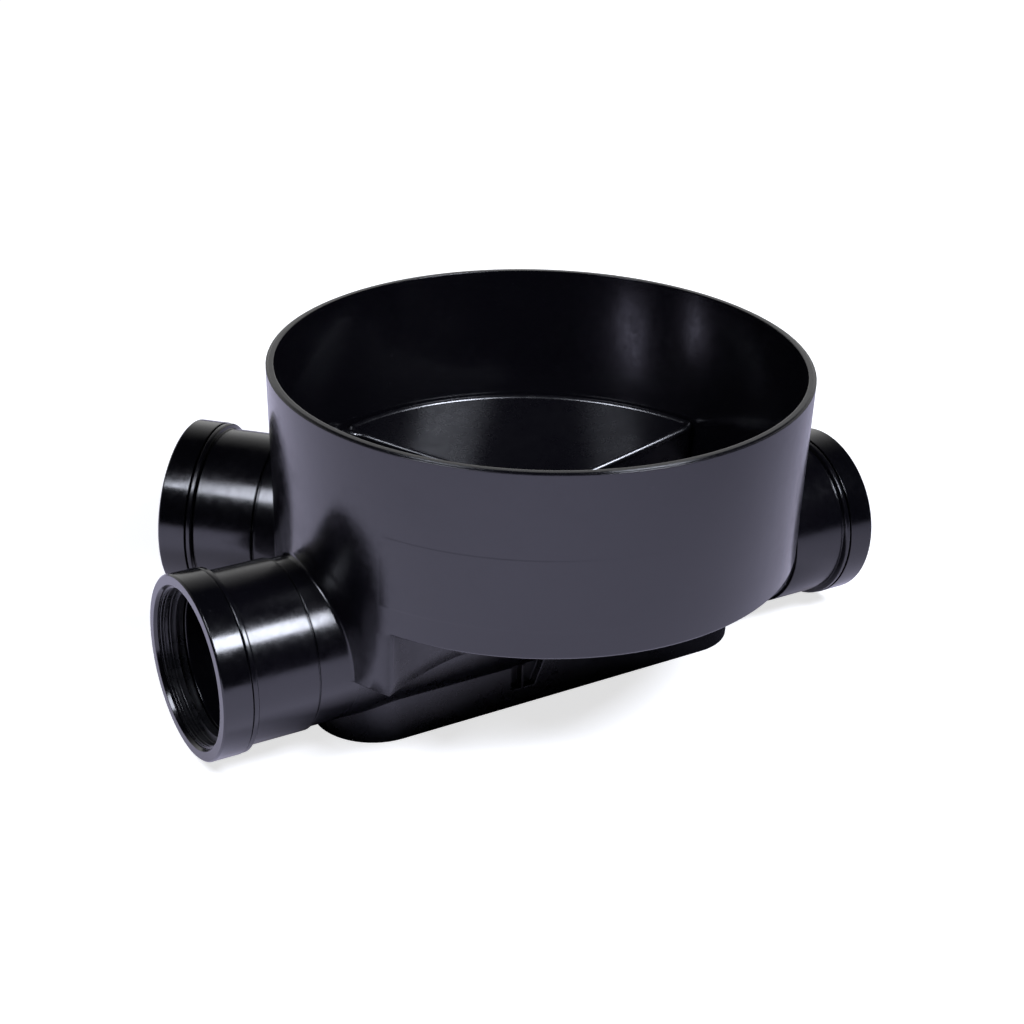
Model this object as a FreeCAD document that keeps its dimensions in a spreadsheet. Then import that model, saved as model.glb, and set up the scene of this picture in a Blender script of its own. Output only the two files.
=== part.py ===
"""Drain inspection chamber base: a moulded drum with a benched flow channel,
one inlet and one outlet on the main run, and one inlet at 45 degrees to it.
Each pipe socket carries a ring seal held by a snap-on retaining cap.

Frame: millimetres, +Z up, +X along the main run towards the outlet.  The origin
is on the axis of the drum, in the plane of the underside of the foot.
"""
import FreeCAD, Part
import math
import os
import Sketcher

Vector = FreeCAD.Vector

SIZES = {
    # drum
    "rim_height": 267.9,
    "rim_radius": 206.5,
    "rim_wall": 5.8,
    "rim_step_width": 1.7,
    "rim_step_depth": 0.9,
    "skirt_height": 124.1,
    "skirt_radius": 203.4,
    "skirt_wall": 6.5,
    "skirt_round": 2.0,
    # benching, a shallow cone round the flow channels
    "bench_height": 155.8,
    "bench_radius": 196.4,
    "bench_fall": 43.0,
    "bench_wall": 6.0,
    "bench_corner": 9.0,
    "edge_groove_width": 1.8,
    "edge_groove_depth": 2.5,
    # main run and its channel
    "axis_height": 78.4,
    "run_fall": 3.0,
    "inlet_reach": 295.7,
    "outlet_reach": 290.0,
    "flow_radius": 51.8,
    "neck_radius": 64.4,
    "channel_half_width": 51.6,
    "channel_reach": 195.2,
    # branch run
    "branch_angle": 45.0,
    "branch_rise": 25.8,
    "branch_reach": 289.6,
    "branch_flare": 22.0,
    "branch_channel_reach": 180.0,
    "branch_channel_top": 58.0,
    # hull under the drum
    "hull_half_width": 64.0,
    "hull_bottom": 74.0,
    "hull_top": 152.0,
    "hull_end_half_width": 96.0,
    "hull_flare_radius": 250.0,
    "branch_hull_top": 44.0,
    # foot
    "foot_half_width": 47.9,
    "foot_inlet_centre": 143.0,
    "foot_outlet_centre": 137.0,
    "foot_wall": 5.0,
    "foot_rib": 4.0,
    "foot_rib_count": 7,
    "foot_hollow_depth": 12.0,
    # side recess over the foot
    "recess_inlet_end": 47.0,
    "recess_outlet_end": 8.0,
    "recess_rib": 2.2,
    "recess_rib_place": 37.0,
    "recess_sill": 15.0,
    "recess_turn": 38.0,
    "recess_top": 120.0,
    "recess_lean": 9.0,
    "recess_low_back": 41.0,
    "recess_high_back": 57.0,
    # sockets, with depths measured in from the mouth
    "body_radius": 66.0,
    "bore_radius": 55.3,
    "stop_depth": 76.0,
    "groove_width": 1.8,
    "groove_drop": 0.7,
    "bead_radius": 69.8,
    "bead_start": 23.0,
    "bead_end": 27.4,
    "bead_bevel": 0.8,
    "snap_rise": 1.2,
    "snap_end": 13.0,
    "seat_radius": 62.2,
    "seat_depth": 22.4,
    "junction_round": 3.0,
    # retaining cap
    "cap_radius": 70.2,
    "cap_length": 22.2,
    "cap_face": 3.0,
    "cap_mouth_radius": 62.4,
    "cap_throat_radius": 60.8,
    "cap_bevel": 1.2,
    "fit_gap": 0.3,
    # ring seal
    "seal_wall": 2.4,
    "seal_lip_wall": 1.3,
    "seal_first_lip": 58.9,
    "seal_first_place": 9.7,
    "seal_second_lip": 55.7,
    "seal_second_place": 14.8,
    "seal_third_lip": 55.5,
    "seal_third_place": 20.6,
}


doc = FreeCAD.newDocument("inspection_chamber")
sheet = doc.addObject("Spreadsheet::Sheet", "sizes")
for row, (alias, size) in enumerate(SIZES.items(), start=1):
    sheet.set("A%d" % row, alias)
    sheet.set("B%d" % row, str(size))
    sheet.setAlias("B%d" % row, alias)
doc.recompute()


def named(text):
    """Turn [name] in a formula into a reference to the cell of that name."""
    return text.replace("[", "sizes.").replace("]", "")


def value(text):
    """The present value of a formula in millimetres or degrees."""
    result = sheet.evalExpression(named(text))
    return float(getattr(result, "Value", result))


def bind(obj, path, text):
    obj.setExpression(path, named(text))


FALL_ANGLE = "atan([run_fall] / ([inlet_reach] + [outlet_reach]))"
BRANCH_HEIGHT = "[axis_height] + [branch_rise]"
BENCH_SLOPE = "[bench_fall] / [bench_radius]"
BRANCH_SLOPE = "atan([branch_rise] / [branch_channel_reach])"
BRANCH_LENGTH = "sqrt([branch_channel_reach] ^ 2 + [branch_rise] ^ 2)"
BRANCH_OVERRUN = "([rim_radius] - [branch_channel_reach] + [branch_channel_top] * sin(%s))" % BRANCH_SLOPE
WALL_FOOT = "([bench_radius] + [edge_groove_width])"


def origin_plane(body, role):
    return next(item for item in body.Origin.OriginFeatures if item.Role == role)


def new_body(name):
    body = doc.addObject("PartDesign::Body", name)
    body.Label = name
    return body


def attach(item, plane, turn_axis, turn, shift):
    """Lay a sketch or a plane on another plane, moved and turned in that plane's own axes."""
    item.AttachmentSupport = [(plane, "")]
    item.MapMode = "FlatFace"
    if turn_axis is not None:
        item.AttachmentOffset = FreeCAD.Placement(Vector(), FreeCAD.Rotation(turn_axis, value(turn)))
        bind(item, "AttachmentOffset.Rotation.Angle", turn)
    for axis, text in zip("xyz", shift):
        if text != "0":
            bind(item, "AttachmentOffset.Base." + axis, text)


def new_sketch(body, name, plane, turn_axis=None, turn="0", shift=("0", "0", "0")):
    """A sketch on one of its body's own planes, named by its role, or on another plane."""
    sketch = body.newObject("Sketcher::SketchObject", name)
    if isinstance(plane, str):
        plane = origin_plane(body, plane)
    attach(sketch, plane, turn_axis, turn, shift)
    return sketch


def hold(sketch, kind, axis, curve, end, text):
    """Fix the distance of a point from the sketch's origin, along one axis."""
    size = value(text)
    if abs(size) < 1e-9:
        sketch.addConstraint(Sketcher.Constraint("PointOnObject", curve, end, axis))
        return
    if size > 0:
        index = sketch.addConstraint(Sketcher.Constraint(kind, -1, 1, curve, end, size))
        bind(sketch, "Constraints[%d]" % index, text)
    else:
        index = sketch.addConstraint(Sketcher.Constraint(kind, curve, end, -1, 1, -size))
        bind(sketch, "Constraints[%d]" % index, "-(%s)" % text)


def hold_point(sketch, curve, end, across, up):
    hold(sketch, "DistanceX", -2, curve, end, across)
    hold(sketch, "DistanceY", -1, curve, end, up)


def draw_outline(sketch, corners, arcs=None):
    """A closed outline between corners given by formulas.  The side that leaves corner
    number n is straight, unless arcs[n] gives its centre and the way that it bulges."""
    arcs = arcs or {}
    first = sketch.GeometryCount
    points = [Vector(value(across), value(up), 0) for across, up in corners]
    ends = []
    for index, start in enumerate(points):
        finish = points[(index + 1) % len(points)]
        if index in arcs:
            across, up, bulge = arcs[index]
            centre = Vector(value(across), value(up), 0)
            middle = centre + Vector(*bulge, 0).normalize() * start.distanceToPoint(centre)
            if (middle - start).cross(finish - middle).z > 0:
                sketch.addGeometry(Part.Arc(start, middle, finish), False)
                ends.append((1, 2))
            else:
                sketch.addGeometry(Part.Arc(finish, middle, start), False)
                ends.append((2, 1))
        else:
            sketch.addGeometry(Part.LineSegment(start, finish), False)
            ends.append((1, 2))
    for index in range(len(points)):
        following = (index + 1) % len(points)
        joint = Sketcher.Constraint("Coincident", first + index, ends[index][1],
                                    first + following, ends[following][0])
        sketch.addConstraint(joint)
    for index, (across, up) in enumerate(corners):
        hold_point(sketch, first + index, ends[index][0], across, up)
    for index, (across, up, bulge) in arcs.items():
        chord = points[(index + 1) % len(points)] - points[index]
        if abs(chord.x) > abs(chord.y):
            hold(sketch, "DistanceY", -1, first + index, 3, up)
        else:
            hold(sketch, "DistanceX", -2, first + index, 3, across)


def draw_box(sketch, left, right, bottom, top):
    draw_outline(sketch, [(left, bottom), (right, bottom), (right, top), (left, top)])


def turned(body, kind, name, sketch, axis):
    """A full turn of a sketch, added (Revolution) or cut away (Groove)."""
    feature = body.newObject("PartDesign::" + kind, name)
    feature.Profile = sketch
    feature.ReferenceAxis = (sketch, [axis])
    feature.Angle = 360
    doc.recompute()
    return feature


def extruded(body, kind, name, sketch, length, back="0", reverse=False):
    """A straight extrusion of a sketch, added (Pad) or cut away (Pocket)."""
    feature = body.newObject("PartDesign::" + kind, name)
    feature.Profile = sketch
    feature.Type = 0
    feature.Reversed = reverse
    bind(feature, "Length", length)
    if back != "0":
        feature.SideType = "Two sides"
        feature.Type2 = 0
        bind(feature, "Length2", back)
    doc.recompute()
    return feature


# ---------------------------------------------------------------- base moulding
def add_drum(body):
    """The solid of the drum, with the hollow skirt under the benching."""
    skirt_inside = "[skirt_radius] - [skirt_wall]"
    under_rim = "[bench_height] - [bench_wall] - (%s) * ([bench_radius] - (%s))" % (BENCH_SLOPE, skirt_inside)
    sketch = new_sketch(body, "drum_section", "XZ_Plane")
    draw_outline(sketch, [
        ("0", "[bench_height] - [bench_fall] - [bench_wall]"),
        (skirt_inside, under_rim),
        (skirt_inside, "[skirt_height]"),
        ("[skirt_radius]", "[skirt_height]"),
        ("[rim_radius]", "[rim_height] - [rim_step_depth]"),
        ("[rim_radius] - [rim_step_width]", "[rim_height] - [rim_step_depth]"),
        ("[rim_radius] - [rim_step_width]", "[rim_height]"),
        ("0", "[rim_height]"),
    ])
    return turned(body, "Revolution", "drum", sketch, "V_Axis")


def hull_end(half_width):
    """How far along a run its hull meets the skirt's outer face."""
    return "sqrt([skirt_radius] ^ 2 - (%s) ^ 2)" % half_width


def add_hull(body):
    """The deep walls along the main channel, flared out to the skirt at both ends."""
    wide = "[hull_end_half_width]"
    narrow = "[hull_half_width]"
    step = "(%s - %s)" % (wide, narrow)
    corner = hull_end(wide)
    tangent = "%s - sqrt(%s * (2 * [hull_flare_radius] - %s))" % (corner, step, step)
    centre = "%s + [hull_flare_radius]" % narrow
    sketch = new_sketch(body, "hull_plan", "XY_Plane", shift=("0", "0", "[hull_bottom]"))
    draw_outline(sketch, [
        ("-(%s)" % corner, "-(%s)" % wide),
        ("-(%s)" % tangent, "-(%s)" % narrow),
        (tangent, "-(%s)" % narrow),
        (corner, "-(%s)" % wide),
        (corner, wide),
        (tangent, narrow),
        ("-(%s)" % tangent, narrow),
        ("-(%s)" % corner, wide),
    ], {
        0: ("-(%s)" % tangent, "-(%s)" % centre, (-0.5, 1)),
        2: (tangent, "-(%s)" % centre, (0.5, 1)),
        3: ("0", "0", (1, 0)),
        4: (tangent, centre, (0.5, -1)),
        6: ("-(%s)" % tangent, centre, (-0.5, -1)),
        7: ("0", "0", (-1, 0)),
    })
    return extruded(body, "Pad", "hull", sketch, "[hull_top] - [hull_bottom]")


def new_branch_plane(body, name):
    """A plane square to the branch, at the head of its channel."""
    turn = "180 - [branch_angle]"
    reach = "[branch_channel_reach]"
    plane = body.newObject("PartDesign::Plane", name)
    shift = ("%s * sin(%s)" % (reach, turn), BRANCH_HEIGHT, "%s * cos(%s)" % (reach, turn))
    attach(plane, origin_plane(body, "YZ_Plane"), Vector(0, 1, 0), turn, shift)
    doc.recompute()
    return plane


def draw_gutter(sketch, radius, height):
    """A round-bottomed gutter with sides that lean out."""
    top = "%s + (%s) * tan([branch_flare])" % (radius, height)
    draw_outline(sketch, [
        ("-(%s)" % radius, "0"), (radius, "0"), (top, height), ("-(%s)" % top, height),
    ], {0: ("0", "0", (0, -1))})


def add_branch_hull(body):
    """The deep wall round the branch channel, which falls from the skirt towards the main run."""
    plane = new_branch_plane(body, "branch_plane")
    sketch = new_sketch(body, "branch_hull_section", plane, Vector(1, 0, 0), "-(%s)" % BRANCH_SLOPE)
    draw_gutter(sketch, "[flow_radius] + [bench_wall]", "[branch_hull_top]")
    extruded(body, "Pad", "branch_hull", sketch, BRANCH_OVERRUN, back=BRANCH_LENGTH)
    sketch = new_sketch(body, "branch_hull_end", "XZ_Plane")
    draw_box(sketch, "[skirt_radius]", "2 * [skirt_radius]", "0", "[rim_height]")
    return turned(body, "Groove", "branch_hull_trim", sketch, "V_Axis")


def add_foot(body):
    """The stadium-shaped foot, up to the middle of the main run."""
    half = "[foot_half_width]"
    sketch = new_sketch(body, "foot_plan", "XY_Plane")
    draw_outline(sketch, [
        ("-[foot_inlet_centre]", "-" + half),
        ("[foot_outlet_centre]", "-" + half),
        ("[foot_outlet_centre]", half),
        ("-[foot_inlet_centre]", half),
    ], {1: ("[foot_outlet_centre]", "0", (1, 0)), 3: ("-[foot_inlet_centre]", "0", (-1, 0))})
    return extruded(body, "Pad", "foot", sketch, "[axis_height]")


def from_mouth(reach, corners):
    """Turn depths in from a socket's mouth into distances out from the drum's axis."""
    return [("%s - (%s)" % (reach, depth), radius) for depth, radius in corners]


def outer_socket(reach):
    """The outside of one socket, from its mouth inwards."""
    return from_mouth(reach, [
        ("[cap_face] + [fit_gap]", "0"),
        ("[cap_face] + [fit_gap]", "[body_radius]"),
        ("[snap_end] - 3 * [snap_rise]", "[body_radius]"),
        ("[snap_end]", "[body_radius] + [snap_rise]"),
        ("[snap_end]", "[body_radius]"),
        ("[bead_start]", "[body_radius]"),
        ("[bead_start]", "[bead_radius] - [bead_bevel]"),
        ("[bead_start] + [bead_bevel]", "[bead_radius]"),
        ("[bead_end] - [bead_bevel]", "[bead_radius]"),
        ("[bead_end]", "[bead_radius] - [bead_bevel]"),
        ("[bead_end] + [bead_bevel]", "[body_radius]"),
        ("[stop_depth]", "[body_radius]"),
        ("[stop_depth]", "[neck_radius] - [groove_drop]"),
        ("[stop_depth] + [groove_width]", "[neck_radius] - [groove_drop]"),
        ("[stop_depth] + [groove_width]", "[neck_radius]"),
    ])


def inner_socket(reach):
    """The inside of one socket: the seal's seat, the pipe's bore and the step that stops it."""
    return from_mouth(reach, [
        ("0", "0"),
        ("0", "[seat_radius]"),
        ("[seat_depth]", "[seat_radius]"),
        ("[seat_depth]", "[bore_radius]"),
        ("[stop_depth]", "[bore_radius]"),
        ("[stop_depth]", "[flow_radius]"),
    ])


def both_ways(corners_of):
    """The main run's outline: the inlet's corners, mirrored, then the outlet's in reverse."""
    inlet = [("-(%s)" % place, radius) for place, radius in corners_of("[inlet_reach]")]
    outlet = list(reversed(corners_of("[outlet_reach]")))
    return inlet + outlet


def run_sketch(body, name):
    return new_sketch(body, name, "XZ_Plane", Vector(0, 0, 1), "-(%s)" % FALL_ANGLE, ("0", "[axis_height]", "0"))


def branch_sketch(body, name):
    return new_sketch(body, name, "XZ_Plane", Vector(0, 1, 0), "180 - [branch_angle]", ("0", BRANCH_HEIGHT, "0"))


def add_runs(body):
    sketch = run_sketch(body, "run_section")
    draw_outline(sketch, both_ways(outer_socket))
    turned(body, "Revolution", "main_run", sketch, "H_Axis")
    sketch = branch_sketch(body, "branch_section")
    draw_outline(sketch, outer_socket("[branch_reach]") + [("0", "[neck_radius]"), ("0", "0")])
    return turned(body, "Revolution", "branch_run", sketch, "H_Axis")


def cut_drum(body):
    """The inside of the drum, down to the benching."""
    above = "[rim_height] + [rim_wall]"
    sketch = new_sketch(body, "inside_section", "XZ_Plane")
    draw_outline(sketch, [
        ("0", "[bench_height] - [bench_fall]"),
        ("[bench_radius]", "[bench_height]"),
        ("[bench_radius]", "[bench_height] - [edge_groove_depth]"),
        ("[bench_radius] + [edge_groove_width]", "[bench_height] - [edge_groove_depth]"),
        ("[rim_radius] - [rim_wall]", "[rim_height]"),
        ("[rim_radius] - [rim_wall]", above),
        ("0", above),
    ])
    return turned(body, "Groove", "drum_inside", sketch, "V_Axis")


def cut_runs(body):
    sketch = run_sketch(body, "run_bores")
    draw_outline(sketch, both_ways(inner_socket))
    turned(body, "Groove", "main_bores", sketch, "H_Axis")
    sketch = branch_sketch(body, "branch_bores")
    inner_end = "[branch_channel_reach] - [bench_wall]"
    draw_outline(sketch, inner_socket("[branch_reach]") + [(inner_end, "[flow_radius]"), (inner_end, "0")])
    return turned(body, "Groove", "branch_bore", sketch, "H_Axis")


def channel_mouth(half):
    """Where a channel's side starts to curve out to the drum's wall, the middle of that curve
    and where it meets the wall, each as distances along and across the channel."""
    across = "(%s + [bench_corner])" % half
    along = "sqrt((%s - [bench_corner]) ^ 2 - %s ^ 2)" % (WALL_FOOT, across)
    grow = "%s / (%s - [bench_corner])" % (WALL_FOOT, WALL_FOOT)
    return (along, half), (along, across), ("%s * %s" % (along, grow), "%s * %s" % (across, grow))


def cut_main_channel(body):
    """The channel's upright sides, from the main run's axis up through the benching.
    Its ends run out in an arc at each corner of the benching."""
    side, middle, wall = channel_mouth("[channel_half_width]")
    outline = []
    arcs = {}
    for along, across in ((1, -1), (1, 1), (-1, 1), (-1, -1)):
        at_side, centre, at_wall = [("%d * %s" % (along, place[0]), "%d * %s" % (across, place[1]))
                                    for place in (side, middle, wall)]
        arcs[len(outline)] = centre + ((along, -across),)
        if along * across > 0:
            outline += [at_wall, at_side]
        else:
            arcs[len(outline) + 1] = ("0", "0", (along, 0))
            outline += [at_side, at_wall]
    sketch = new_sketch(body, "channel_plan", "XY_Plane", shift=("0", "0", "[axis_height]"))
    draw_outline(sketch, outline, arcs)
    return extruded(body, "Pocket", "main_channel", sketch, "[rim_height] - [axis_height]", reverse=True)


def make_branch_channel():
    """The space of the branch channel, which falls from the drum's wall to the main channel."""
    space = new_body("branch_channel_space")
    plane = new_branch_plane(space, "channel_head")
    sketch = new_sketch(space, "branch_channel_section", plane, Vector(1, 0, 0), "-(%s)" % BRANCH_SLOPE)
    draw_gutter(sketch, "[flow_radius]", "[branch_channel_top]")
    lean = "([bench_height] - [bench_fall] / 2 - [axis_height]) * sin(%s)" % BRANCH_SLOPE
    extruded(space, "Pad", "branch_gutter", sketch, BRANCH_OVERRUN, back="%s - %s" % (BRANCH_LENGTH, lean))
    sketch = new_sketch(space, "branch_channel_end", "XZ_Plane")
    draw_outline(sketch, [
        (WALL_FOOT, "0"),
        ("2 * [rim_radius]", "0"),
        ("2 * [rim_radius]", "[rim_height]"),
        ("[rim_radius] - [rim_wall]", "[rim_height]"),
        (WALL_FOOT, "[bench_height] - [edge_groove_depth]"),
    ])
    turned(space, "Groove", "branch_channel_trim", sketch, "V_Axis")
    return space


def cut_branch_channel(body):
    channel = body.newObject("PartDesign::Boolean", "branch_channel")
    channel.Type = "Cut"
    channel.setObjects([make_branch_channel()])
    doc.recompute()
    return channel


def round_bench_corners(body):
    """The benching's corners beside the branch, rounded to the depth of the groove at its edge."""
    half = "([flow_radius] + ([bench_height] - (%s)) * tan([branch_flare]))" % BRANCH_HEIGHT
    side, middle, wall = channel_mouth(half)
    sketch = new_sketch(body, "branch_corner_plan", "XY_Plane", Vector(0, 0, 1), "180 - [branch_angle]",
                        ("0", "0", "[bench_height] - [edge_groove_depth]"))
    draw_outline(sketch, [
        (side[0], "-" + side[1]), (wall[0], "-" + wall[1]), wall, side,
    ], {
        0: (middle[0], "-" + middle[1], (1, 1)),
        1: ("0", "0", (1, 0)),
        2: middle + ((1, -1),),
    })
    return extruded(body, "Pocket", "branch_corners", sketch, "[bench_wall]", reverse=True)


def hollow_foot(body):
    """The underside of the foot, hollowed between its skirt and a grid of ribs."""
    half = "[foot_half_width] - [foot_wall]"
    sketch = new_sketch(body, "foot_hollow_plan", "XY_Plane")
    draw_outline(sketch, [
        ("-[foot_inlet_centre]", "-(%s)" % half),
        ("[foot_outlet_centre]", "-(%s)" % half),
        ("[foot_outlet_centre]", half),
        ("-[foot_inlet_centre]", half),
    ], {1: ("[foot_outlet_centre]", "0", (1, 0)), 3: ("-[foot_inlet_centre]", "0", (-1, 0))})
    extruded(body, "Pocket", "foot_hollow", sketch, "[foot_hollow_depth]", reverse=True)

    overlap = "[foot_wall] / 2"
    reach = "%s + %s" % (half, overlap)
    rib = "[foot_rib] / 2"
    sketch = new_sketch(body, "foot_spine_plan", "XY_Plane")
    draw_box(sketch, "-[foot_inlet_centre] - (%s)" % reach, "[foot_outlet_centre] + (%s)" % reach,
             "-" + rib, rib)
    extruded(body, "Pad", "foot_spine", sketch, "[foot_hollow_depth]")
    sketch = new_sketch(body, "foot_rib_plan", "XY_Plane")
    draw_box(sketch, "-[foot_inlet_centre] - " + rib, "-[foot_inlet_centre] + " + rib, "-(%s)" % reach, reach)
    first_rib = extruded(body, "Pad", "foot_rib", sketch, "[foot_hollow_depth]")
    ribs = body.newObject("PartDesign::LinearPattern", "foot_ribs")
    ribs.Originals = [first_rib]
    ribs.Direction = (origin_plane(body, "X_Axis"), [""])
    bind(ribs, "Length", "[foot_inlet_centre] + [foot_outlet_centre]")
    bind(ribs, "Occurrences", "[foot_rib_count]")
    body.Tip = ribs
    doc.recompute()


def cut_recess(body):
    """The recess in the near side, with one thin rib left standing in it."""
    rib_start = "-[recess_rib_place] - [recess_rib] / 2"
    rib_end = "-[recess_rib_place] + [recess_rib] / 2"
    low, turn, high = "[recess_sill]", "[recess_turn]", "[recess_top]"
    for name, back, bottom, top, step in (("low", "[recess_low_back]", low, turn, 1),
                                          ("high", "[recess_high_back]", turn, high, 0)):
        sketch = new_sketch(body, "recess_%s_shape" % name, "XZ_Plane", shift=("0", "0", back))
        draw_box(sketch, "-[recess_inlet_end]", rib_start, bottom, top)
        draw_outline(sketch, [
            (rib_end, bottom), ("-[recess_outlet_end] - %d * [recess_lean]" % (step + 1), bottom),
            ("-[recess_outlet_end] - %d * [recess_lean]" % step, top), (rib_end, top),
        ])
        extruded(body, "Pocket", "recess_" + name, sketch, "[hull_half_width]", reverse=True)


def round_edges(body, name, radius, wanted):
    """Round the edges for which wanted(edge) is true."""
    solid = body.Tip
    edges = ["Edge%d" % number for number, edge in enumerate(solid.Shape.Edges, start=1) if wanted(edge)]
    fillet = body.newObject("PartDesign::Fillet", name)
    fillet.Base = (solid, edges)
    bind(fillet, "Radius", radius)
    doc.recompute()
    return fillet


def edge_points(edge, count=5):
    return edge.discretize(count)


def is_skirt_foot(edge):
    """True for an outer edge of the skirt's underside."""
    radius = value("[skirt_radius]")
    height = value("[skirt_height]")
    return all(abs(point.z - height) < 0.01 and abs(math.hypot(point.x, point.y) - radius) < 0.05
               for point in edge_points(edge))


def is_main_root(edge):
    """True for an edge where the main run's neck leaves the drum's outer wall."""
    fall = value("sin(%s)" % FALL_ANGLE)
    for point in edge_points(edge):
        radius = math.hypot(point.x, point.y)
        height = point.z - value("[axis_height]") + point.x * fall
        if abs(math.hypot(point.y, height) - value("[neck_radius]")) > 0.05:
            return False
        if not value("[skirt_radius]") - 0.05 < radius < value("[rim_radius]"):
            return False
    return True


def make_base():
    body = new_body("base_moulding")
    add_branch_hull(body)
    add_drum(body)
    add_hull(body)
    add_foot(body)
    add_runs(body)
    cut_drum(body)
    cut_main_channel(body)
    cut_branch_channel(body)
    round_bench_corners(body)
    cut_runs(body)
    hollow_foot(body)
    cut_recess(body)
    round_edges(body, "skirt_rounds", "[skirt_round]", is_skirt_foot)
    round_edges(body, "root_rounds", "[junction_round]", is_main_root)
    return body


# ---------------------------------------------------------------- caps and seals
def place_on_run(body, end):
    """Put a body on one run, with its X axis running inwards from the socket's mouth."""
    if end == "branch":
        turn_axis, turn = Vector(0, 0, 1), "-[branch_angle]"
        place = {
            "x": "-[branch_reach] * cos([branch_angle])",
            "y": "[branch_reach] * sin([branch_angle])",
            "z": BRANCH_HEIGHT,
        }
    elif end == "inlet":
        turn_axis, turn = Vector(0, 1, 0), FALL_ANGLE
        place = {
            "x": "-[inlet_reach] * cos(%s)" % FALL_ANGLE,
            "z": "[axis_height] + [inlet_reach] * sin(%s)" % FALL_ANGLE,
        }
    else:
        turn_axis, turn = Vector(0, 1, 0), "180 deg + %s" % FALL_ANGLE
        place = {
            "x": "[outlet_reach] * cos(%s)" % FALL_ANGLE,
            "z": "[axis_height] - [outlet_reach] * sin(%s)" % FALL_ANGLE,
        }
    body.Placement = FreeCAD.Placement(Vector(), FreeCAD.Rotation(turn_axis, value(turn)))
    bind(body, "Placement.Rotation.Angle", turn)
    for axis, text in place.items():
        bind(body, "Placement.Base." + axis, text)


def make_ring(name, end, corners):
    """A ring turned about one run, from corners at a depth from the mouth and a radius."""
    body = new_body(name)
    sketch = new_sketch(body, name + "_section", "XY_Plane")
    draw_outline(sketch, corners)
    turned(body, "Revolution", name + "_ring", sketch, "H_Axis")
    place_on_run(body, end)
    doc.recompute()
    return body


def make_cap(end):
    """The retaining cap, which snaps over the socket's end and holds the seal in."""
    inside = "[body_radius] + [fit_gap]"
    return make_ring(end + "_cap", end, [
        ("0", "[cap_mouth_radius]"),
        ("[cap_face]", "[cap_throat_radius]"),
        ("[cap_face]", inside),
        ("[snap_end] + [fit_gap] - 3 * [snap_rise]", inside),
        ("[snap_end] + [fit_gap]", "%s + [snap_rise]" % inside),
        ("[snap_end] + [fit_gap]", inside),
        ("[cap_length]", inside),
        ("[cap_length]", "[cap_radius]"),
        ("[cap_bevel]", "[cap_radius]"),
        ("0", "[cap_radius] - [cap_bevel]"),
    ])


def make_seal(end):
    """The rubber ring seal, three lips in one sleeve."""
    outside = "[seat_radius] - [fit_gap]"
    inside = "%s - [seal_wall]" % outside
    corners = [
        ("[cap_face] + [fit_gap]", outside),
        ("[cap_face] + [fit_gap]", inside),
    ]
    for order, rake in (("first", "1.7"), ("second", "1.1"), ("third", "0.7")):
        tip = "[seal_%s_place]" % order
        root = "%s - %s * [seal_lip_wall]" % (tip, rake)
        corners += [
            (root, inside),
            (tip, "[seal_%s_lip]" % order),
            ("%s + 2 * [seal_lip_wall]" % root, inside),
        ]
    return make_ring(end + "_seal", end, corners + [
        ("[seat_depth] - [fit_gap]", inside),
        ("[seat_depth] - [fit_gap]", outside),
    ])


base = make_base()
parts = [base]
for run_end in ("inlet", "outlet", "branch"):
    parts.append(make_cap(run_end))
    parts.append(make_seal(run_end))
doc.recompute()
for item in doc.Objects:
    if "Invalid" in item.State or "Error" in item.State:
        raise RuntimeError("%s failed: %s" % (item.Name, item.State))
os.makedirs("parts", exist_ok=True)
for part in parts:
    shape = part.Shape
    if shape.isNull() or not shape.isValid():
        raise RuntimeError("%s has no valid shape" % part.Label)
    shape.exportStep(os.path.join("parts", part.Label + ".step"))
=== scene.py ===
"""Drain inspection chamber base on a pale studio floor.  Metres and radians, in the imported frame."""
import math

import bmesh
import bpy
from mathutils import Matrix, Vector


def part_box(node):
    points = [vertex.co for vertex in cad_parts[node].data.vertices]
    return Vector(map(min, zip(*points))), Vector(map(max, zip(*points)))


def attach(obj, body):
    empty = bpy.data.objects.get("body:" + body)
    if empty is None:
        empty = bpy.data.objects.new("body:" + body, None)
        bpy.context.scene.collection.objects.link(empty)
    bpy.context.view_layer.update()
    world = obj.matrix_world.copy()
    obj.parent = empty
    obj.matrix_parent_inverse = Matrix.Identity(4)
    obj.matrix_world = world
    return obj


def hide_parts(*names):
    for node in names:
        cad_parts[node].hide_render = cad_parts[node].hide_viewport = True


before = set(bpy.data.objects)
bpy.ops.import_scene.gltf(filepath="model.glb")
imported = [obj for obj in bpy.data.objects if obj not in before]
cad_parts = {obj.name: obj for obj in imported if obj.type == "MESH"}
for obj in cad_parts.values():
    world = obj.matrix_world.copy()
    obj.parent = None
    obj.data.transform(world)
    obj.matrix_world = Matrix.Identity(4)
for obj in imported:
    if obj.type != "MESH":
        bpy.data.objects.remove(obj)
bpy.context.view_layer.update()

# colours of the moulding, the caps and the seals, of the bloom on the rubber and of dust
PLASTIC = (0.0022, 0.0020, 0.0032, 1.0)
CAP_PLASTIC = (0.0018, 0.0017, 0.0026, 1.0)
RUBBER = (0.006, 0.006, 0.007, 1.0)
BLOOM = (0.022, 0.022, 0.024, 1.0)
DUST = (0.10, 0.095, 0.11, 1.0)

# how dull each plastic is, from 0 for a mirror, and how strongly it mirrors, as a refractive index
BASE_DULLNESS = 0.16
BENCH_EXTRA_DULLNESS = 0.10
LIP_DULLNESS = 0.22
CAP_DULLNESS = 0.12
PLASTIC_INDEX = 1.5
LIP_INDEX = 1.95

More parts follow.
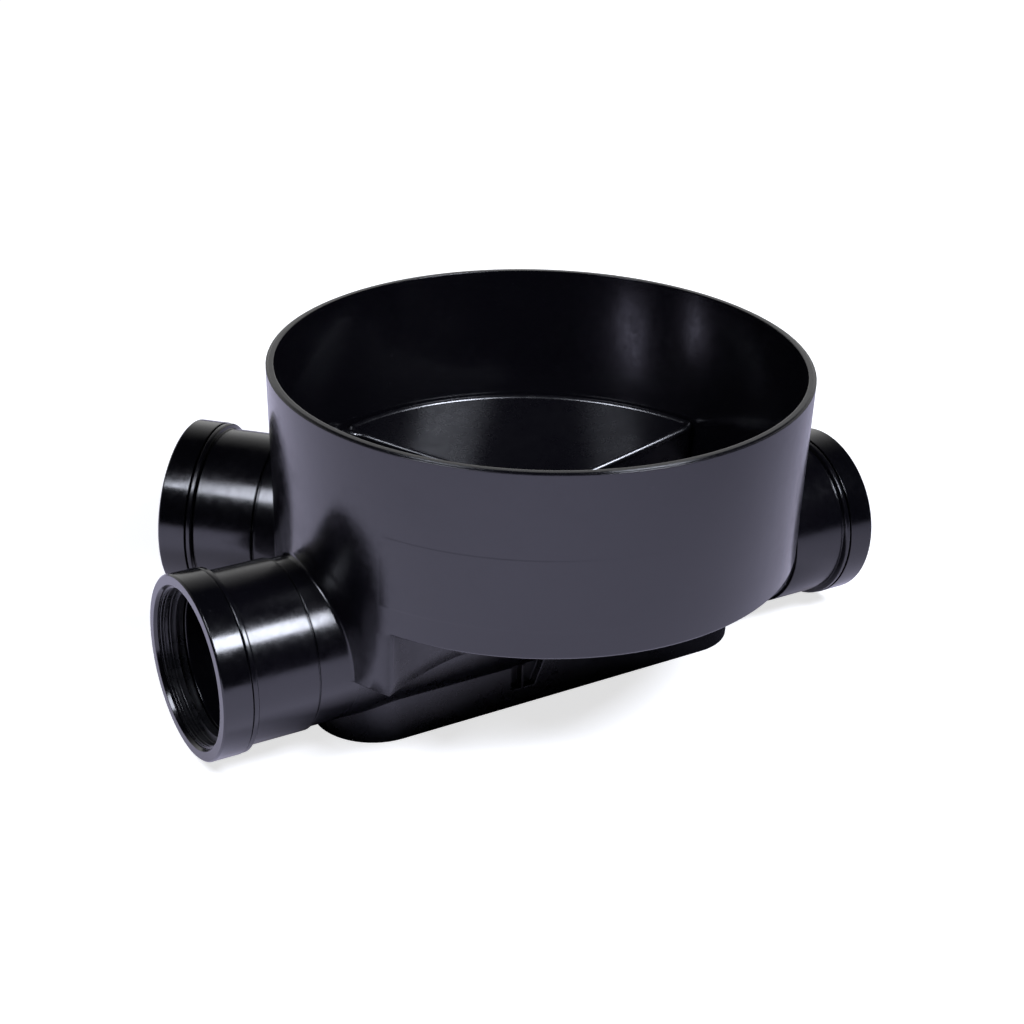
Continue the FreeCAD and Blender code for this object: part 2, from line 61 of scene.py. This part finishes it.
# cloudy patterns on the surfaces: features to the metre, layers of detail and, where it is given, how
# rough the detail is
DUST_PATTERN = (900.0, 2.0)
RUB_PATTERN = (22.0, 6.0, 0.7)
STREAK_PATTERN = (160.0, 4.0, 0.6)
RIPPLE_PATTERN = (38.0, 3.0)
GRAIN_PATTERN = (1400.0, 2.0)
BLOOM_PATTERN = (60.0, 5.0)
RUBBER_PATTERN = (700.0, 3.0)

# what a pattern does: the stretch of it that counts, then the amounts at the two ends of that stretch
DUST_AMOUNT = (0.72, 0.80, 0.0, 0.25)
RUB_DULLNESS = (0.45, 0.75, 0.0, 0.09)
STREAK_DULLNESS = (0.4, 0.7, 0.0, 0.05)
BLOOM_AMOUNT = (0.45, 0.7, 0.0, 0.5)
RUBBER_DULLNESS = (0.0, 0.5, 0.26, 0.42)

# the strength of each fine relief, and its depth in metres
RIPPLE_RELIEF = (0.20, 0.0006)
GRAIN_RELIEF = (0.02, 0.0001)
RUBBER_RELIEF = (0.2, 0.0002)
PANEL_RELIEF = (0.8, 0.0002)

# points nearer than this are joined, and edges flatter than this are shaded smooth
JOIN_WITHIN = 1e-5
SMOOTH_ANGLE = math.radians(28)

# how widely an edge is shaded as if it were rounded, on the walls, at the hull's corner and on the
# caps, and how finely
WALL_EDGE = 0.0014
HULL_EDGE = 0.016
CAP_EDGE = 0.0010
EDGE_SAMPLES = 6

# the benching's radius, the heights that it lies between and the cosine of its steepest slope
BENCH_RADIUS = 0.1975
BENCH_TOP = 0.1565
BENCH_FOOT = 0.110
BENCH_STEEPEST = 0.955

# the upright corner where the hull meets the skirt, beside the inlet: its azimuth, how far to each
# side of it the shading is rounded, and the heights that the corner lies between
HULL_CORNER = math.radians(-151.8)
HULL_CORNER_HALF = 0.08
HULL_CORNER_BLUR = 0.01
HULL_BOTTOM = 0.070
SKIRT_FOOT = 0.1235
HULL_HEIGHT_BLUR = 0.001

# the rounded lip along the benching's edges
LIP_RADIUS = 0.0034
LIP_SINK = 0.0019
LIP_STEP = 0.004
LIP_SIDES = 14

# the raised panel that the mould leaves on the drum's near side: its heights and its azimuths
PANEL_BOTTOM = 0.1465
PANEL_TOP = 0.202
PANEL_EDGE_BLUR = 0.0006
PANEL_START = math.radians(-153)
PANEL_START_BLUR = 0.02
PANEL_END = math.radians(-92)
PANEL_FADE = 0.5

# the fine ribs moulded inside each seal's sleeve
RIB_RADIUS = 0.0006
RIB_PITCH = 0.0024
RIB_COUNT = 6
FIRST_RIB = 0.0048
RIB_RING = 0.0596
RIB_SIDES = 12
RING_SIDES = 128

# the main run's fall over its length, and the way into each socket from its mouth
RUN_FALL = 0.003
RUN_LENGTH = 0.5857
FALL_ANGLE = math.atan(RUN_FALL / RUN_LENGTH)
MOUTHS = {
    "inlet": Vector((math.cos(FALL_ANGLE), 0, -math.sin(FALL_ANGLE))),
    "outlet": Vector((-math.cos(FALL_ANGLE), 0, math.sin(FALL_ANGLE))),
    "branch": Vector((1, -1, 0)),
}

# colours of the studio
WHITE = (1.0, 1.0, 1.0, 1.0)
BLACK = (0.0, 0.0, 0.0, 1.0)
ROOM = (0.004, 0.004, 0.005, 1.0)
FLOOR = (0.80, 0.80, 0.80, 1.0)
# the lilac painted into the floor only where the gloss mirrors it, a painted reflection colour
PAINTED_REFLECTION_TINT = (0.84, 0.80, 1.0, 1.0)
LAMP = (0.83, 0.87, 1.0)

# the floor's half width and dullness, and its own light to the eye: from one distance, to another,
# and the strength at each
FLOOR_HALF = 3.0
FLOOR_DULLNESS = 0.9
FLOOR_LIGHT = (0.35, 0.9, 0.72, 1.0)

# the floor as the gloss mirrors it, with painted shade and a painted glow that only reflections show:
# from where, to where, and the amount at each.  The painted shade is darkest near the foot, in a band
# along the run that widens towards the outlet.  Outside that it is painted dimmer with distance and
# towards the outlet.
PAINTED_SHADE_NEAR_FOOT = (0.2, 0.32, 0.0, 1.0)
PAINTED_SHADE_BESIDE_RUN = (0.06, 0.108, 0.0, 1.0)
PAINTED_SHADE_WIDENING = (-0.1, 0.2, 0.0, 0.075)
PAINTED_SHADE_ALONG_RUN = (-0.4, 0.45, 1.0, 0.45)
DARKEST_PAINTED_SHADE = 0.1
PAINTED_GLOW = 0.76
PAINTED_GLOW_WITH_DISTANCE = (0.5, 1.6, 1.0, 0.35)
PAINTED_GLOW_ALONG_RUN = (-0.7, 0.9, 1.1, 0.45)

# the pale backdrop that only gloss mirrors: its azimuth, how it brightens towards its middle and how
# it fades upwards
BACKDROP_AZIMUTH = math.radians(70)
BACKDROP_ACROSS = (0.2, 0.75, 0.0, 0.85)
BACKDROP_UPWARDS = (0.25, 0.77, 1.0, 0.0)

# the softboxes all face one point on the drum's axis, from one distance.  Each has its elevation and
# azimuth in degrees, its width and height in metres, and its power in watts.
LAMP_TARGET = Vector((0, 0, 0.1))
LAMP_DISTANCE = 1.6
LAMPS = {
    "key_softbox": (48, -70, 0.66, 0.42, 29.0),
    "side_softbox": (47, -166, 0.5, 0.46, 13.0),
}

# the camera's place, its three angles, and its sensor's width and focal length in millimetres
CAMERA_PLACE = Vector((-0.7342, -1.1606, 0.8103))
CAMERA_AZIMUTH = math.radians(-31.54)
CAMERA_ELEVATION = math.radians(26.08)
CAMERA_ROLL = math.radians(1.64)
SENSOR_WIDTH = 36.0
FOCAL_LENGTH = 68.61


# ---------------------------------------------------------------- shader helpers
class Nodes:
    """Short names for building one shader tree."""

    def __init__(self, tree):
        self.tree = tree
        self.given = self.add("ShaderNodeTexCoord")
        self.place = self.given.outputs["Object"]

    def add(self, kind, **inputs):
        """A new node, with the inputs that are given."""
        node = self.tree.nodes.new(kind)
        for key, value in inputs.items():
            self.put(node.inputs[key.replace("_", " ")], value)
        return node

    def put(self, socket, value):
        """Link an output to a socket, or set the socket to a plain value."""
        if isinstance(value, bpy.types.NodeSocket):
            self.tree.links.new(value, socket)
        else:
            socket.default_value = value

    def math(self, operation, a, b=0.0):
        """The result of one operation on one or two numbers."""
        node = self.tree.nodes.new("ShaderNodeMath")
        node.operation = operation
        self.put(node.inputs[0], a)
        self.put(node.inputs[1], b)
        return node.outputs[0]

    def total(self, first, *rest):
        """The sum of two or more numbers."""
        for value in rest:
            first = self.math("ADD", first, value)
        return first

    def product(self, first, *rest):
        """The product of two or more numbers."""
        for value in rest:
            first = self.math("MULTIPLY", first, value)
        return first

    def noise(self, scale, detail, roughness=0.5):
        """A cloudy pattern from 0 to 1, fixed to the piece."""
        node = self.add("ShaderNodeTexNoise", Vector=self.place, Scale=scale, Detail=detail,
                        Roughness=roughness)
        return node.outputs["Fac"]

    def ranged(self, value, from_low, from_high, to_low, to_high):
        """A value carried from one range to another, and held within it."""
        node = self.tree.nodes.new("ShaderNodeMapRange")
        self.put(node.inputs["Value"], value)
        limits = {"From Min": from_low, "From Max": from_high, "To Min": to_low, "To Max": to_high}
        for key, number in limits.items():
            node.inputs[key].default_value = number
        return node.outputs["Result"]

    def bump(self, height, strength, distance, normal=None):
        """The surface's normal, tilted as a relief of that height tilts it."""
        node = self.tree.nodes.new("ShaderNodeBump")
        self.put(node.inputs["Height"], height)
        node.inputs["Strength"].default_value = strength
        node.inputs["Distance"].default_value = distance
        if normal is not None:
            self.put(node.inputs["Normal"], normal)
        return node.outputs["Normal"]

    def edge_normal(self, radius):
        """The surface's normal, turned over a rounded edge."""
        node = self.tree.nodes.new("ShaderNodeBevel")
        node.samples = EDGE_SAMPLES
        self.put(node.inputs["Radius"], radius)
        return node.outputs["Normal"]

    def between(self, value, low, high, blur):
        """1 where a value lies between two limits, fading over blur at each."""
        rise = self.ranged(value, low - blur, low + blur, 0.0, 1.0)
        fall = self.ranged(value, high - blur, high + blur, 1.0, 0.0)
        return self.product(rise, fall)

    def mix_colour(self, factor, first, second):
        """A blend that goes from the first colour at 0 to the second at 1."""
        node = self.tree.nodes.new("ShaderNodeMix")
        node.data_type = "RGBA"
        self.put(node.inputs["Factor"], factor)
        self.put(node.inputs["A"], first)
        self.put(node.inputs["B"], second)
        return node.outputs["Result"]


class Material(Nodes):
    """A new material and its shader."""

    def __init__(self, name):
        self.material = bpy.data.materials.new(name)
        self.material.use_nodes = True
        super().__init__(self.material.node_tree)
        self.shader = self.tree.nodes["Principled BSDF"]


def turn_about_drum(nodes, parts):
    """The azimuth about the drum's axis, in radians."""
    return nodes.math("ARCTAN2", parts.outputs["Y"], parts.outputs["X"])


def panel_height(nodes, parts):
    """The faint step of the mould's panel, which fades out towards the outlet."""
    turn = turn_about_drum(nodes, parts)
    start = nodes.ranged(turn, PANEL_START - PANEL_START_BLUR, PANEL_START + PANEL_START_BLUR, 0.0, 1.0)
    fade = nodes.ranged(turn, PANEL_END - PANEL_FADE, PANEL_END, 1.0, 0.0)
    upwards = nodes.between(parts.outputs["Z"], PANEL_BOTTOM, PANEL_TOP, PANEL_EDGE_BLUR)
    return nodes.product(start, fade, upwards)


def at_hull_corner(nodes, parts):
    """1 round the upright corner where the hull meets the skirt, beside the inlet."""
    around = nodes.between(turn_about_drum(nodes, parts), HULL_CORNER - HULL_CORNER_HALF,
                           HULL_CORNER + HULL_CORNER_HALF, HULL_CORNER_BLUR)
    upwards = nodes.between(parts.outputs["Z"], HULL_BOTTOM, SKIRT_FOOT, HULL_HEIGHT_BLUR)
    return nodes.product(around, upwards)


def on_bench(nodes, parts):
    """1 on the benching and in the channels, inside the drum."""
    along = nodes.product(parts.outputs["X"], parts.outputs["X"])
    across = nodes.product(parts.outputs["Y"], parts.outputs["Y"])
    radius = nodes.math("SQRT", nodes.total(along, across))
    inside = nodes.math("LESS_THAN", radius, BENCH_RADIUS)
    low = nodes.math("LESS_THAN", parts.outputs["Z"], BENCH_TOP)
    return nodes.product(inside, low)


def moulded_plastic(name, colour, dullness):
    """Black moulded plastic with fine dust, dull rubs and streaks, and how dull it is at each point."""
    nodes = Material(name)
    dust = nodes.ranged(nodes.noise(*DUST_PATTERN), *DUST_AMOUNT)
    nodes.put(nodes.shader.inputs["Base Color"], nodes.mix_colour(dust, colour, DUST))
    rubs = nodes.ranged(nodes.noise(*RUB_PATTERN), *RUB_DULLNESS)
    streaks = nodes.ranged(nodes.noise(*STREAK_PATTERN), *STREAK_DULLNESS)
    return nodes, nodes.total(rubs, streaks, dullness)


def finish_plastic(nodes, dullness, normal, index=PLASTIC_INDEX):
    """The plastic's material, with its dullness and its gloss, and the slight ripple of a moulding."""
    nodes.put(nodes.shader.inputs["Roughness"], dullness)
    normal = nodes.bump(nodes.noise(*RIPPLE_PATTERN), *RIPPLE_RELIEF, normal)
    normal = nodes.bump(nodes.noise(*GRAIN_PATTERN), *GRAIN_RELIEF, normal)
    nodes.put(nodes.shader.inputs["Normal"], normal)
    nodes.shader.inputs["IOR"].default_value = index
    return nodes.material


def base_plastic():
    """The base's plastic, duller on the benching and softly rounded at the hull's corner."""
    nodes, dullness = moulded_plastic("black_plastic", PLASTIC, BASE_DULLNESS)
    parts = nodes.add("ShaderNodeSeparateXYZ", Vector=nodes.place)
    dullness = nodes.total(dullness, nodes.product(on_bench(nodes, parts), BENCH_EXTRA_DULLNESS))
    edge = nodes.total(nodes.product(at_hull_corner(nodes, parts), HULL_EDGE - WALL_EDGE), WALL_EDGE)
    normal = nodes.bump(panel_height(nodes, parts), *PANEL_RELIEF, nodes.edge_normal(edge))
    return finish_plastic(nodes, dullness, normal)


def lip_plastic():
    """The plastic along the benching's lip, which shines more strongly than the rest."""
    nodes, dullness = moulded_plastic("lip_plastic", PLASTIC, LIP_DULLNESS)
    return finish_plastic(nodes, dullness, nodes.edge_normal(WALL_EDGE), LIP_INDEX)


def cap_plastic():
    """The retaining caps' plastic, glossier than the base's."""
    nodes, dullness = moulded_plastic("cap_plastic", CAP_PLASTIC, CAP_DULLNESS)
    return finish_plastic(nodes, dullness, nodes.edge_normal(CAP_EDGE))


def seal_rubber():
    """Black rubber with patches of paler bloom, which are duller."""
    nodes = Material("seal_rubber")
    bloom = nodes.ranged(nodes.noise(*BLOOM_PATTERN), *BLOOM_AMOUNT)
    nodes.put(nodes.shader.inputs["Base Color"], nodes.mix_colour(bloom, RUBBER, BLOOM))
    nodes.put(nodes.shader.inputs["Roughness"], nodes.ranged(bloom, *RUBBER_DULLNESS))
    grain = nodes.bump(nodes.noise(*RUBBER_PATTERN), *RUBBER_RELIEF)
    nodes.put(nodes.shader.inputs["Normal"], grain)
    return nodes.material


# ---------------------------------------------------------------- pieces
def add_piece(name, mesh):
    """A new piece of one mesh, which rides on the base."""
    piece = bpy.data.objects.new(name, mesh)
    bpy.context.scene.collection.objects.link(piece)
    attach(piece, "root")
    return piece


def smooth_copy(node, material):
    """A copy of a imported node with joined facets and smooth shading, which stands for it."""
    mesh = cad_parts[node].data.copy()
    shape = bmesh.new()
    shape.from_mesh(mesh)
    bmesh.ops.remove_doubles(shape, verts=shape.verts, dist=JOIN_WITHIN)
    for face in shape.faces:
        face.smooth = True
    for edge in shape.edges:
        edge.smooth = len(edge.link_faces) == 2 and edge.calc_face_angle(math.pi) < SMOOTH_ANGLE
    shape.to_mesh(mesh)
    shape.free()
    mesh.materials.clear()
    mesh.materials.append(material)
    piece = add_piece(node + "_finished", mesh)
    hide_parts(node)
    return piece


def new_tree(name, inputs):
    """An empty node tree, the identifier of each of its named inputs, and its input and output nodes."""
    tree = bpy.data.node_groups.new(name, "GeometryNodeTree")
    tree.interface.new_socket("Geometry", in_out="OUTPUT", socket_type="NodeSocketGeometry")
    sockets = {}
    for title, kind, value in inputs:
        socket = tree.interface.new_socket(title, in_out="INPUT", socket_type="NodeSocket" + kind)
        if value is not None:
            socket.default_value = value
        sockets[title] = socket.identifier
    return tree, sockets, tree.nodes.new("NodeGroupInput"), tree.nodes.new("NodeGroupOutput")


def link_tree(tree, given, result, links, geometry):
    """Make a tree's links, and end it with plain geometry in the material that it is given."""
    real = tree.nodes.new("GeometryNodeRealizeInstances")
    paint = tree.nodes.new("GeometryNodeSetMaterial")
    ending = [
        (geometry, real.inputs["Geometry"]),
        (real.outputs["Geometry"], paint.inputs["Geometry"]),
        (given.outputs["Material"], paint.inputs["Material"]),
        (paint.outputs["Geometry"], result.inputs["Geometry"]),
    ]
    for start, end in links + ending:
        tree.links.new(start, end)


def run_tree(name, tree, settings, mesh=None):
    """The plain mesh that a tree makes, from a mesh if it is given one."""
    maker = bpy.data.objects.new(name + "_maker", mesh or bpy.data.meshes.new(name + "_maker"))
    bpy.context.scene.collection.objects.link(maker)
    modifier = maker.modifiers.new("maker", "NODES")
    modifier.node_group = tree
    for identifier, value in settings.items():
        modifier[identifier] = value
    result = bpy.data.meshes.new_from_object(maker.evaluated_get(bpy.context.evaluated_depsgraph_get()))
    bpy.data.objects.remove(maker)
    for face in result.polygons:
        face.use_smooth = True
    return result


def rib_tree():
    """Node tree for a row of rings, each a thin round bead, spaced along Z."""
    tree, sockets, given, result = new_tree("seal_ribs", [
        ("Ring Radius", "Float", RIB_RING), ("Bead Radius", "Float", RIB_RADIUS),
        ("Pitch", "Float", RIB_PITCH), ("Count", "Int", RIB_COUNT), ("Material", "Material", None)])
    ring = tree.nodes.new("GeometryNodeCurvePrimitiveCircle")
    ring.inputs["Resolution"].default_value = RING_SIDES
    bead = tree.nodes.new("GeometryNodeCurvePrimitiveCircle")
    bead.inputs["Resolution"].default_value = RIB_SIDES
    sweep = tree.nodes.new("GeometryNodeCurveToMesh")
    pitch = tree.nodes.new("ShaderNodeCombineXYZ")
    row = tree.nodes.new("GeometryNodeMeshLine")
    copies = tree.nodes.new("GeometryNodeInstanceOnPoints")
    links = [
        (given.outputs["Ring Radius"], ring.inputs["Radius"]),
        (given.outputs["Bead Radius"], bead.inputs["Radius"]),
        (given.outputs["Pitch"], pitch.inputs["Z"]),
        (given.outputs["Count"], row.inputs["Count"]),
        (pitch.outputs["Vector"], row.inputs["Offset"]),
        (ring.outputs["Curve"], sweep.inputs["Curve"]),
        (bead.outputs["Curve"], sweep.inputs["Profile Curve"]),
        (row.outputs["Mesh"], copies.inputs["Points"]),
        (sweep.outputs["Mesh"], copies.inputs["Instance"]),
    ]
    link_tree(tree, given, result, links, copies.outputs["Instances"])
    return tree, sockets


def lip_tree():
    """Node tree for a round lip along the edges of the mesh that it is given."""
    tree, sockets, given, result = new_tree("bench_lip", [
        ("Edges", "Geometry", None), ("Lip Radius", "Float", LIP_RADIUS), ("Step", "Float", LIP_STEP),
        ("Material", "Material", None)])
    path = tree.nodes.new("GeometryNodeMeshToCurve")
    even = tree.nodes.new("GeometryNodeResampleCurve")
    even.mode = "LENGTH"
    section = tree.nodes.new("GeometryNodeCurvePrimitiveCircle")
    section.inputs["Resolution"].default_value = LIP_SIDES
    sweep = tree.nodes.new("GeometryNodeCurveToMesh")
    sweep.inputs["Fill Caps"].default_value = True
    links = [
        (given.outputs["Edges"], path.inputs["Mesh"]),
        (path.outputs["Curve"], even.inputs["Curve"]),
        (given.outputs["Step"], even.inputs["Length"]),
        (given.outputs["Lip Radius"], section.inputs["Radius"]),
        (even.outputs["Curve"], sweep.inputs["Curve"]),
        (section.outputs["Curve"], sweep.inputs["Profile Curve"]),
    ]
    link_tree(tree, given, result, links, sweep.outputs["Mesh"])
    return tree, sockets


def is_bench(face):
    """True for a face of the benching's shallow cone."""
    centre = face.calc_center_median()
    flat = math.hypot(centre.x, centre.y)
    return face.normal.z > BENCH_STEEPEST and BENCH_FOOT < centre.z < BENCH_TOP and flat < BENCH_RADIUS


def bench_edges(shape):
    """Each sharp edge of the benching, with the benching's own face beside it."""
    edges = []
    for edge in shape.edges:
        tops = [face for face in edge.link_faces if is_bench(face)]
        if len(tops) == 1 and len(edge.link_faces) == 2 and edge.calc_face_angle(0.0) > SMOOTH_ANGLE:
            edges.append((edge, tops[0]))
    return edges


def way_under(edge, top):
    """The way from an edge in under its face and down."""
    inward = top.calc_center_median() - edge.verts[0].co
    along = (edge.verts[1].co - edge.verts[0].co).normalized()
    inward = (inward - along * inward.dot(along)).normalized()
    return inward - Vector((0, 0, 1))


def bench_path(base):
    """The benching's edges as lines, sunk down and in so that the lip stands only a little proud."""
    shape = bmesh.new()
    shape.from_mesh(base.data)
    edges = bench_edges(shape)
    ways_at = {}
    for edge, top in edges:
        for vertex in edge.verts:
            ways_at.setdefault(vertex.index, []).append(way_under(edge, top))
    order = {index: number for number, index in enumerate(ways_at)}
    shape.verts.ensure_lookup_table()
    points = [shape.verts[index].co + sum(ways, Vector()) / len(ways) * LIP_SINK
              for index, ways in ways_at.items()]
    pairs = [[order[vertex.index] for vertex in edge.verts] for edge, _ in edges]
    shape.free()
    path = bpy.data.meshes.new("bench_edges")
    path.from_pydata(points, pairs, [])
    return path


def bench_lip(base, material):
    """The rounded lip along the edges of the benching."""
    tree, sockets = lip_tree()
    mesh = run_tree("bench_lip", tree, {sockets["Material"]: material}, bench_path(base))
    add_piece("bench_lip", mesh)


def seal_ribs(end, tree, sockets, material):
    """The ribs inside one seal, laid along its socket's axis from the mouth of its cap."""
    low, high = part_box(end + "_cap")
    centre = (low + high) / 2
    inward = MOUTHS[end].normalized()
    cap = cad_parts[end + "_cap"].data
    mouth = centre + inward * min((vertex.co - centre).dot(inward) for vertex in cap.vertices)
    mesh = run_tree(end + "_ribs", tree, {sockets["Material"]: material})
    turn = Vector((0, 0, 1)).rotation_difference(inward).to_matrix().to_4x4()
    mesh.transform(Matrix.Translation(mouth + inward * FIRST_RIB) @ turn)
    add_piece(end + "_seal_ribs", mesh)


def build_pieces():
    """The finished base with its benching's lip, and each socket's cap, seal and ribs."""
    rubber = seal_rubber()
    cap_finish = cap_plastic()
    plastic = base_plastic()
    base = smooth_copy("base_moulding", plastic)
    bench_lip(base, lip_plastic())
    tree, sockets = rib_tree()
    for end in MOUTHS:
        smooth_copy(end + "_cap", cap_finish)
        smooth_copy(end + "_seal", rubber)
        seal_ribs(end, tree, sockets, rubber)


# ---------------------------------------------------------------- studio
def direction(elevation, azimuth):
    """The unit vector at an elevation and an azimuth in degrees."""
    elevation = math.radians(elevation)
    azimuth = math.radians(azimuth)
    return Vector((math.cos(elevation) * math.cos(azimuth), math.cos(elevation) * math.sin(azimuth),
                   math.sin(elevation)))


def add_light(name, elevation, azimuth, width, height, power):
    """A softbox that faces the lamps' target."""
    light = bpy.data.lights.new(name, "AREA")
    light.shape = "RECTANGLE"
    light.size = width
    light.size_y = height
    light.energy = power
    light.color = LAMP
    lamp = bpy.data.objects.new(name, light)
    lamp.location = LAMP_TARGET + direction(elevation, azimuth) * LAMP_DISTANCE
    lamp.rotation_euler = (LAMP_TARGET - lamp.location).to_track_quat("-Z", "Y").to_euler()
    bpy.context.scene.collection.objects.link(lamp)


def painted_floor_shade(nodes, far, parts):
    """Painted shade on the floor as the gloss mirrors it: 0 where it is painted darkest, up to 1 outside
    it.
    """
    widening = nodes.ranged(parts.outputs["X"], *PAINTED_SHADE_WIDENING)
    beside = nodes.math("SUBTRACT", nodes.math("ABSOLUTE", parts.outputs["Y"]), widening)
    return nodes.math("MAXIMUM", nodes.ranged(far, *PAINTED_SHADE_NEAR_FOOT),
                      nodes.ranged(beside, *PAINTED_SHADE_BESIDE_RUN))


def painted_floor_glow(nodes, far, parts, shade):
    """How strongly the floor glows where the gloss mirrors it: a painted glow that only reflections
    show.
    """
    return nodes.product(shade, PAINTED_GLOW, nodes.ranged(far, *PAINTED_GLOW_WITH_DISTANCE),
                         nodes.ranged(parts.outputs["X"], *PAINTED_GLOW_ALONG_RUN))


def floor_material():
    """A pale floor that keeps the object's shadow, and that gloss mirrors as lilac with painted shade
    and a painted glow.
    """
    nodes = Material("pale_floor")
    nodes.shader.inputs["Roughness"].default_value = FLOOR_DULLNESS
    nodes.shader.inputs["Specular IOR Level"].default_value = 0.0
    path = nodes.add("ShaderNodeLightPath")
    in_gloss = path.outputs["Is Glossy Ray"]
    length = nodes.add("ShaderNodeVectorMath", Vector=nodes.place)
    length.operation = "LENGTH"
    far = length.outputs["Value"]
    parts = nodes.add("ShaderNodeSeparateXYZ", Vector=nodes.place)
    shade = painted_floor_shade(nodes, far, parts)
    # painted shade: the floor's colour as the gloss mirrors it, darkened near the foot and towards the
    # outlet
    painted_shade = nodes.product(shade, nodes.ranged(parts.outputs["X"], *PAINTED_SHADE_ALONG_RUN), 1.0 - DARKEST_PAINTED_SHADE)
    painted_reflection = nodes.mix_colour(nodes.total(painted_shade, DARKEST_PAINTED_SHADE), BLACK, PAINTED_REFLECTION_TINT)
    nodes.put(nodes.shader.inputs["Base Color"], nodes.mix_colour(in_gloss, FLOOR, painted_reflection))
    to_eye = nodes.product(path.outputs["Is Camera Ray"], nodes.ranged(far, *FLOOR_LIGHT))
    # painted glow: light on the floor that only reflections show
    painted_glow = nodes.product(in_gloss, painted_floor_glow(nodes, far, parts, shade))
    nodes.put(nodes.shader.inputs["Emission Color"], nodes.mix_colour(in_gloss, WHITE, PAINTED_REFLECTION_TINT))
    nodes.put(nodes.shader.inputs["Emission Strength"], nodes.total(to_eye, painted_glow))
    return nodes.material


def add_floor():
    """The floor that the foot stands on."""
    mesh = bpy.data.meshes.new("studio_floor")
    corners = [(-FLOOR_HALF, -FLOOR_HALF, 0), (FLOOR_HALF, -FLOOR_HALF, 0),
               (FLOOR_HALF, FLOOR_HALF, 0), (-FLOOR_HALF, FLOOR_HALF, 0)]
    mesh.from_pydata(corners, [], [(0, 1, 2, 3)])
    mesh.materials.append(floor_material())
    floor = bpy.data.objects.new("studio_floor", mesh)
    bpy.context.scene.collection.objects.link(floor)


def set_world():
    """White to the eye, a dim room for light, and a pale backdrop behind the object for gloss."""
    world = bpy.data.worlds.new("studio")
    bpy.context.scene.world = world
    world.use_nodes = True
    nodes = Nodes(world.node_tree)
    background = nodes.tree.nodes["Background"]
    path = nodes.add("ShaderNodeLightPath")
    way = nodes.add("ShaderNodeSeparateXYZ", Vector=nodes.given.outputs["Generated"])
    behind = nodes.total(nodes.product(way.outputs["X"], math.cos(BACKDROP_AZIMUTH)),
                         nodes.product(way.outputs["Y"], math.sin(BACKDROP_AZIMUTH)))
    glow = nodes.product(nodes.ranged(behind, *BACKDROP_ACROSS),
                         nodes.ranged(way.outputs["Z"], *BACKDROP_UPWARDS),
                         path.outputs["Is Glossy Ray"])
    room = nodes.mix_colour(glow, ROOM, WHITE)
    nodes.put(background.inputs["Color"], nodes.mix_colour(path.outputs["Is Camera Ray"], room, WHITE))


def add_camera():
    """The camera, turned to its azimuth and elevation and then rolled about its line of sight."""
    back = Vector((math.sin(CAMERA_AZIMUTH) * math.cos(CAMERA_ELEVATION),
                   -math.cos(CAMERA_AZIMUTH) * math.cos(CAMERA_ELEVATION), math.sin(CAMERA_ELEVATION)))
    level = (-back).cross(Vector((0, 0, 1))).normalized()
    upright = level.cross(-back)
    right = math.cos(CAMERA_ROLL) * level + math.sin(CAMERA_ROLL) * upright
    up = -math.sin(CAMERA_ROLL) * level + math.cos(CAMERA_ROLL) * upright
    turn = Matrix((right, up, back)).transposed().to_4x4()
    data = bpy.data.cameras.new("camera")
    data.sensor_width = SENSOR_WIDTH
    data.lens = FOCAL_LENGTH
    camera = bpy.data.objects.new("camera", data)
    camera.matrix_world = Matrix.Translation(CAMERA_PLACE) @ turn
    bpy.context.scene.collection.objects.link(camera)
    bpy.context.scene.camera = camera


build_pieces()
add_floor()
set_world()
for name, setting in LAMPS.items():
    add_light(name, *setting)
add_camera()
bpy.context.scene.view_settings.view_transform = "Standard"
